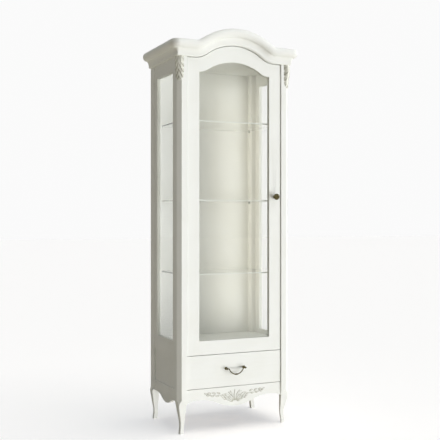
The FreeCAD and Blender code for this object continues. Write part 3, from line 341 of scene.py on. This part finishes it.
def ivory_paint(name, grain):
    """Brushed satin paint; its faint marks run along the wood."""
    material, finish = new_finish(name)
    place = finish.place()
    clouds = finish.noise(place, scale=7.0)
    streaks = finish.noise(place, scale=90.0, detail=4.0, rough=0.6, stretch=grain)
    brush = finish.noise(place, scale=900.0, stretch=grain)
    peel = finish.noise(place, scale=1400.0, detail=2.0)
    age = finish.ramp(clouds * 0.6 + streaks * 0.4, low=0.38, high=0.68)
    finish.surface(finish.principled({
        "Base Color": finish.blend(age * 0.55, IVORY, IVORY_DEEP),
        "Roughness": 0.46 + streaks * 0.14,
        "Normal": finish.bump(brush * 0.6 + peel * 0.2 + streaks * 0.5, depth=0.00012),
        "Specular IOR Level": PAINT_SHEEN,
    }))
    return material


def aged_bronze():
    """Dark bronze that shines through where hands rub it."""
    material, finish = new_finish("aged_bronze")
    place = finish.place()
    patches = finish.noise(place, scale=160.0, detail=4.0, rough=0.65)
    grains = finish.noise(place, scale=1500.0, detail=2.0)
    worn = finish.ramp(patches, low=0.46, high=0.72)
    finish.surface(finish.principled({
        "Base Color": finish.blend(worn, BRONZE, BRONZE_WORN),
        "Metallic": 0.85 + worn * 0.15,
        "Roughness": 0.46 - worn * 0.16,
        "Normal": finish.bump(grains + patches * 0.8, depth=0.00015),
    }))
    return material


def plain_metal(name, bright, dull, grain):
    """Plated or turned metal with fine marks along the grain."""
    material, finish = new_finish(name)
    place = finish.place()
    lines = finish.noise(place, scale=1800.0, stretch=grain)
    clouds = finish.noise(place, scale=120.0)
    finish.surface(finish.principled({
        "Base Color": finish.blend(lines * 0.6 + clouds * 0.4, bright, dull),
        "Metallic": 1.0,
        "Roughness": 0.26 + lines * 0.2,
        "Normal": finish.bump(lines, depth=0.00004),
    }))
    return material


def catch_plastic():
    """Matte moulded plastic with a fine spark texture."""
    material, finish = new_finish("catch_plastic")
    place = finish.place()
    sparks = finish.noise(place, scale=2600.0, detail=2.0)
    clouds = finish.noise(place, scale=60.0, detail=2.0)
    finish.surface(finish.principled({
        "Base Color": finish.blend(clouds, PLASTIC, PLASTIC_DEEP),
        "Roughness": 0.5 + sparks * 0.16,
        "Normal": finish.bump(sparks, depth=0.00006),
    }))
    return material


def bare_wood(name, grain):
    """Clear-sealed pale wood: growth rings drawn out along the board."""
    material, finish = new_finish(name)
    place = finish.place()
    sway = finish.noise(place, scale=14.0, stretch=grain)
    pores = finish.noise(place, scale=620.0, detail=4.0, rough=0.6, stretch=grain)
    rings = finish.noise(place, scale=75.0, detail=2.0, stretch=grain, warp=1.2)
    dark = finish.ramp(rings * 0.7 + sway * 0.3, low=0.36, high=0.66) * 0.75 + pores * 0.3
    finish.surface(finish.principled({
        "Base Color": finish.blend(dark, WOOD_PALE, WOOD_DARK),
        "Roughness": 0.48 + pores * 0.18,
        "Normal": finish.bump(pores * 0.6 + rings * 0.4, depth=0.00018),
    }))
    return material


def glass_pane(finish, place):
    """Float glass; light that only falls through it goes straight on."""
    smears = finish.noise(place, scale=5.0)
    pane = finish.principled({
        "Base Color": finish.blend(smears, GLASS_TINT, GLASS_TINT_DEEP),
        "Roughness": smears * 0.008,
        "Transmission Weight": 1.0,
        "IOR": 1.45,
    })
    passing = finish.node("ShaderNodeBsdfTransparent", {}, {"Color": GLASS_PASSING})
    falling = finish.ray("Is Shadow Ray") + finish.ray("Is Diffuse Ray")
    return finish.node("ShaderNodeMixShader", {}, {0: falling, 1: pane, 2: passing})


def clear_glass():
    material, finish = new_finish("clear_glass")
    finish.surface(glass_pane(finish, finish.place()))
    return material


def shelf_glass(front):
    """The same glass with its front edge ground dull and pale."""
    material, finish = new_finish("shelf_glass")
    place = finish.place()
    grit = finish.noise(place, scale=900.0, detail=2.0)
    ground = finish.principled({
        "Base Color": finish.blend(grit, GLASS_EDGE, GLASS_TINT_DEEP),
        "Roughness": 0.45 + grit * 0.2,
        "Normal": finish.bump(grit, depth=0.00005),
    })
    edge = finish.ramp(front + EDGE_DEPTH - finish.along(place, "Y"), low=0.0, high=EDGE_DEPTH / 2)
    pane = glass_pane(finish, place)
    finish.surface(finish.node("ShaderNodeMixShader", {}, {0: edge, 1: pane, 2: ground}))
    return material


def seen_directly(finish):
    """1 for what the camera sees, also in metal and through glass."""
    seen = finish.ray("Is Camera Ray") + finish.ray("Is Glossy Ray") + finish.ray("Is Transmission Ray")
    return finish.ramp(seen, low=0.0, high=1.0)


def studio_floor():
    """A plain white floor that keeps the cabinet's soft shadow."""
    material, finish = new_finish("studio_floor")
    mottle = finish.noise(finish.place(), scale=1.5, detail=2.0)
    white = finish.blend(mottle, FLOOR_SEEN, FLOOR_SEEN_DEEP)
    seen = seen_directly(finish)
    finish.surface(finish.principled({
        "Base Color": finish.blend(seen, FLOOR_BOUNCE, white),
        "Emission Color": finish.blend(seen, NO_LIGHT, FLOOR_GLOW),
        "Emission Strength": 1.0,
        "Roughness": 0.9,
        "Specular IOR Level": 0.0,
    }))
    return material


def set_camera():
    camera = bpy.data.objects.new("camera", bpy.data.cameras.new("camera"))
    bpy.context.scene.collection.objects.link(camera)
    camera.location = CAMERA_PLACE
    camera.rotation_euler = (CAMERA_TILT, 0, CAMERA_TURN)
    camera.data.lens = CAMERA_LENS
    camera.data.sensor_width = SENSOR_WIDTH
    bpy.context.scene.camera = camera


def hang_light(name, kind, strength, colour, direction):
    """A lamp that shines from its direction and shows in no glass or metal."""
    light = bpy.data.objects.new(name, bpy.data.lights.new(name, kind))
    bpy.context.scene.collection.objects.link(light)
    light.data.energy = strength
    light.data.color = colour
    light.visible_camera = False
    light.visible_glossy = False
    light.visible_transmission = False
    light.rotation_euler = Vector(direction).to_track_quat("Z", "Y").to_euler()
    return light


def hang_lights():
    """A main lamp at the front right, one above, one behind, and a strip inside at the front left."""
    key = hang_light("key_light", "SUN", KEY_STRENGTH, KEY_COLOUR, KEY_DIRECTION)
    key.data.angle = KEY_SOFTNESS
    top = hang_light("top_light", "SUN", TOP_STRENGTH, TOP_COLOUR, TOP_DIRECTION)
    top.data.angle = TOP_SOFTNESS
    back = hang_light("back_light", "SUN", BACK_STRENGTH, BACK_COLOUR, BACK_DIRECTION)
    back.data.angle = BACK_SOFTNESS
    inside = hang_light("inside_light", "AREA", INSIDE_POWER, INSIDE_COLOUR, INSIDE_DIRECTION)
    inside.location = INSIDE_PLACE
    inside.data.shape = "RECTANGLE"
    inside.data.size = INSIDE_STRIP[0]
    inside.data.size_y = INSIDE_STRIP[1]
    inside.data.spread = INSIDE_SPREAD


def set_room():
    """Weak light from all round, behind which the camera sees a white backdrop."""
    bpy.context.scene.view_settings.view_transform = "Standard"
    world = bpy.data.worlds.new("studio")
    bpy.context.scene.world = world
    world.use_nodes = True
    finish = Finish(world.node_tree)
    fill = finish.node("ShaderNodeBackground", {}, {"Color": ROOM_FILL})
    white = finish.node("ShaderNodeBackground", {}, {"Color": BACKDROP_WHITE})
    both = finish.node("ShaderNodeMixShader", {}, {0: seen_directly(finish), 1: fill, 2: white})
    finish.node("ShaderNodeOutputWorld", {}, {"Surface": both})


def add_piece(name, shape, material):
    """Turn a finished bmesh into an object at the origin."""
    mesh = bpy.data.meshes.new(name)
    shape.to_mesh(mesh)
    shape.free()
    mesh.materials.append(material)
    piece = bpy.data.objects.new(name, mesh)
    bpy.context.scene.collection.objects.link(piece)
    return piece


def lay_floor():
    shape = bmesh.new()
    bmesh.ops.create_grid(shape, x_segments=1, y_segments=1, size=FLOOR_HALF)
    floor = add_piece("floor", shape, studio_floor())
    floor.visible_shadow = False


def paint(nodes, material):
    """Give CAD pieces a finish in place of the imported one."""
    for name in nodes:
        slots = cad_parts[name].data.materials
        slots.clear()
        slots.append(material)


def carved_paint(name, ridge_at, face, hollow_shade):
    """Paint that is darker in the hollows as painted shade; the ridge value is 0 there and 1 on the ridges.
    """
    material, finish = new_finish(name)
    place = finish.place()
    clouds = finish.noise(place, scale=60.0)
    peel = finish.noise(place, scale=1400.0, detail=2.0)
    ridge = ridge_at(finish, place, clouds)
    finish.surface(finish.principled({
        "Base Color": finish.blend(ridge, hollow_shade, face),
        "Roughness": 0.6 - ridge * 0.1,
        "Normal": finish.bump(peel + clouds, depth=0.0001),
        "Specular IOR Level": PAINT_SHEEN,
    }))
    return material


def relief_ridge(finish, place, clouds):
    """Grows with the height of a point of the apron relief over the apron; low points get painted shade."""
    height = (RELIEF_BACK - finish.along(place, "Y")) * (1.0 / RELIEF_RISE)
    return finish.ramp(height + clouds * 0.25, low=0.18, high=0.72)


def leaf_ridge(finish, place, clouds):
    """Drops to 0 in the slanting strokes of a corner leaf and fades towards its rim: painted shade in the
    strokes and on the rim.
    """
    right = finish.along(place, "X").absolute()
    across = right + finish.along(place, "Y") - (CANT_PLACE[0] + CANT_PLACE[1])
    side = across.absolute() * (math.sqrt(0.5) / LEAF_HALF)
    way = (LEAF_TOP - finish.along(place, "Z")) * (1.0 / LEAF_LENGTH)
    tier = (way * LEAF_TIERS + side * LEAF_TIER_SLANT).fraction()
    climb = finish.ramp(tier + clouds * 0.1, low=0.08, high=0.42)
    stroke = finish.ramp(way, low=0.15, high=0.5) * LEAF_STROKE_GAIN + LEAF_STROKE_HEAD
    ridge = 1.0 - (1.0 - climb) * stroke - side * side * LEAF_RIM_SHADE
    return finish.ramp(ridge, low=0.0, high=1.0)


def leaf_sheet(shape, across, along):
    """A flat grid from -1 to 1 across and 0 to 1 along, ready to be carved."""
    sheet = bmesh.ops.create_grid(shape, x_segments=across, y_segments=along, size=1.0)["verts"]
    for vertex in sheet:
        vertex.co = Vector((vertex.co.x, 0.0, (vertex.co.y + 1.0) / 2.0))
    return sheet


def close_backs(shape):
    """Merge the points that meet in a tip, close the open backs and turn all faces outwards."""
    bmesh.ops.remove_doubles(shape, verts=shape.verts, dist=TIP_JOIN)
    open_edges = [edge for edge in shape.edges if edge.is_boundary]
    bmesh.ops.holes_fill(shape, edges=open_edges, sides=0)
    bmesh.ops.recalc_face_normals(shape, faces=shape.faces)


def bump_at(value, middle, spread):
    """1 in the middle, falling off to 0 on both sides."""
    return math.exp(-((value - middle) / spread) ** 2)


def petal(shape, root, length, width, angle, curl, rise):
    """A spoon-shaped petal with a grooved middle, from its root along an angle in the apron's plane."""
    for vertex in leaf_sheet(shape, *PETAL_MESH):
        side, way = vertex.co.x, vertex.co.z
        full = math.sin(math.pi * min(1.0, way ** PETAL_SHOULDER)) ** PETAL_FULLNESS
        across = side * width / 2 * full
        forward = way * length
        turn = math.radians(angle) + curl * way
        climb = PETAL_ROOT_RISE + (1 - PETAL_ROOT_RISE) * way
        groove = PETAL_GROOVE * bump_at(side, 0.0, PETAL_GROOVE_SPREAD)
        height = rise * full * ((1 - side * side) * climb - groove)
        vertex.co = Vector((
            root[0] + forward * math.cos(turn) - across * math.sin(turn),
            RELIEF_BACK - height,
            root[1] + forward * math.sin(turn) + across * math.cos(turn),
        ))


def petals(shape, rows, middle, hand, rise):
    """A group of petals on the right hand (1) or, mirrored, on the left one (-1)."""
    for out, up, length, width, angle, curl in rows:
        root = (middle[0] + hand * out, middle[1] + up)
        heading = angle if hand > 0 else 180 - angle
        petal(shape, root, length, width, heading, hand * curl, rise)


def button(shape, hand):
    """The round heart of a flower."""
    ball = bmesh.ops.create_uvsphere(
        shape, u_segments=BUTTON_SEGMENTS, v_segments=BUTTON_RINGS, radius=1.0)["verts"]
    bmesh.ops.scale(shape, vec=(BUTTON_RADIUS, BUTTON_RISE, BUTTON_RADIUS), verts=ball)
    bmesh.ops.translate(shape, vec=(hand * BUTTON_PLACE[0], RELIEF_BACK, BUTTON_PLACE[1]), verts=ball)


def stem(shape, hand):
    """A thin bowed half-round stem that lies on the apron and runs out at both ends."""
    run = STEM_END[0] - STEM_START[0]
    climb = STEM_END[1] - STEM_START[1]
    for vertex in leaf_sheet(shape, *STEM_MESH):
        side, way = vertex.co.x * math.pi / 2, vertex.co.z
        bow = 4 * way * (1 - way)
        half = STEM_THICK * bow ** STEM_RUN_OUT
        vertex.co = Vector((
            hand * (STEM_START[0] + run * way),
            RELIEF_BACK - half * max(0.0, math.cos(side)),
            STEM_START[1] + climb * way - STEM_SAG * bow + half * math.sin(side),
        ))


def carve_apron_relief():
    """Plumes and leaves fanned from the apron's middle and a leaf sprig towards each end."""
    shape = bmesh.new()
    petals(shape, PLUMES, FAN_MIDDLE, 1, RELIEF_RISE)
    for hand in (1, -1):
        petals(shape, FAN_LEAVES, FAN_MIDDLE, hand, FAN_RISE)
        stem(shape, hand)
        petals(shape, SPRIG_LEAVES, (0.0, 0.0), hand, SPRIG_RISE)
        button(shape, hand)
    close_backs(shape)
    return shape


def leaf_half(way):
    """Half the width of a corner leaf, notched between its lobes and blunt at its tip."""
    notches = NOTCH_DEPTH * sum(bump_at(way, notch, NOTCH_SPREAD) for notch in LEAF_NOTCHES)
    return (LEAF_HALF * (1.0 - way ** LEAF_BLUNTNESS) + LEAF_TIP_HALF) * (1.0 - notches)


def leaf_height(side, way, half):
    """How far a corner leaf stands out from the canted face: a crown cut by slanting tiers and veins."""
    belly = LEAF_STEADY_RISE + LEAF_BELLY_RISE * bump_at(way, LEAF_BELLY_PLACE, LEAF_BELLY_SPREAD)
    crown = LEAF_RISE * belly * (1.0 - LEAF_TIP_SINK * way ** LEAF_TIP_SINK_POWER)
    edge = LEAF_EDGE - max(0.0, half - CANT_HALF)
    tier = (way * LEAF_TIERS + LEAF_TIER_SLANT * side) % 1.0
    deeper = LEAF_HEAD_GROOVE + (1.0 - LEAF_HEAD_GROOVE) * math.sqrt(way)
    groove = LEAF_GROOVE * (1.0 - tier ** LEAF_GROOVE_POWER) * deeper
    vein = LEAF_VEIN_DEPTH * (1.0 + math.cos(2 * math.pi * LEAF_VEINS * side)) / 2
    rib = LEAF_RIB * bump_at(side, 0.0, LEAF_RIB_SPREAD)
    curl = LEAF_CURL * max(0.0, (way - LEAF_CURL_START) / (1.0 - LEAF_CURL_START)) ** 2
    carved = (rib + curl - groove - vein) * (1.0 - side ** LEAF_CARVED_POWER)
    return crown + (edge - crown) * side ** LEAF_EDGE_POWER + carved


def carve_corner_leaf(hand):
    """An acanthus leaf that wraps the canted corner, lobed and veined, with its tip turned out."""
    shape = bmesh.new()
    leaf_sheet(shape, *LEAF_MESH)
    rim = [edge for edge in shape.edges if edge.is_boundary]
    skirt = bmesh.ops.extrude_edge_only(shape, edges=rim)["geom"]
    sunk = {element for element in skirt if isinstance(element, bmesh.types.BMVert)}
    for vertex in shape.verts:
        side, way = vertex.co.x, 1.0 - vertex.co.z
        half = leaf_half(way)
        across = side * half
        out = leaf_height(abs(side), way, half)
        if vertex in sunk:
            out = -max(0.0, abs(across) - CANT_HALF) - LEAF_SUNK
        vertex.co = Vector((across, -out, LEAF_TOP - way * LEAF_LENGTH))
    turn = Matrix.Rotation(hand * CANT_TURN, 4, "Z")
    bmesh.ops.transform(shape, matrix=turn, verts=shape.verts)
    bmesh.ops.translate(shape, vec=(hand * CANT_PLACE[0], CANT_PLACE[1], 0.0), verts=shape.verts)
    close_backs(shape)
    return shape


def smooth(piece):
    """Shade a carved piece round, with its sharp edges kept."""
    for face in piece.data.polygons:
        face.use_smooth = True
    piece.data.set_sharp_from_angle(angle=CREASE_OVER)


def soften(nodes):
    """Ease the edges of CAD boards a little, as sanding and paint do."""
    for name in nodes:
        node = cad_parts[name]
        join = node.modifiers.new("join", "WELD")
        join.merge_threshold = BOARD_JOIN
        ease = node.modifiers.new("ease", "BEVEL")
        ease.width = EDGE_EASE
        ease.segments = EASE_STEPS
        ease.limit_method = "ANGLE"
        ease.angle_limit = EASE_OVER
        ease.harden_normals = False
        even = node.modifiers.new("even", "WEIGHTED_NORMAL")
        even.keep_sharp = True


set_camera()
hang_lights()
set_room()
lay_floor()

paint(UPRIGHT_PAINTED + GLAZING_BEADS, ivory_paint("ivory_upright", UPRIGHT))
paint(LEVEL_PAINTED, ivory_paint("ivory_level", LEVEL))
paint(DEEP_PAINTED, ivory_paint("ivory_deep", DEEP))
paint(PANES, clear_glass())
paint(SHELVES, shelf_glass(front=box_of(SHELVES[0])[0].y))
paint(BRONZE_FITTINGS, aged_bronze())
paint(STEEL_FITTINGS, plain_metal("plain_steel", STEEL, STEEL_DULL, LEVEL))
paint(BRASS_FITTINGS, plain_metal("bush_brass", BRASS, BRASS_DULL, UPRIGHT))
paint(PLASTIC_FITTINGS, catch_plastic())
paint(LEVEL_WOOD, bare_wood("bare_wood_level", LEVEL))
paint(DEEP_WOOD, bare_wood("bare_wood_deep", DEEP))

relief_paint = carved_paint("relief_paint", relief_ridge, IVORY, IVORY_HOLLOW_SHADE)
relief = add_piece("apron_carving", carve_apron_relief(), relief_paint)
smooth(relief)
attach(relief, "carcass")
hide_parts("apron_relief")
leaf_paint = carved_paint("leaf_paint", leaf_ridge, LEAF_FACE, LEAF_HOLLOW_SHADE)
for hand, leaf_node in ((-1, "left_corner_leaf"), (1, "right_corner_leaf")):
    leaf = add_piece(leaf_node + "_carving", carve_corner_leaf(hand), leaf_paint)
    smooth(leaf)
    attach(leaf, "carcass")
    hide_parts(leaf_node)

soften(UPRIGHT_PAINTED + LEVEL_PAINTED + DEEP_PAINTED)
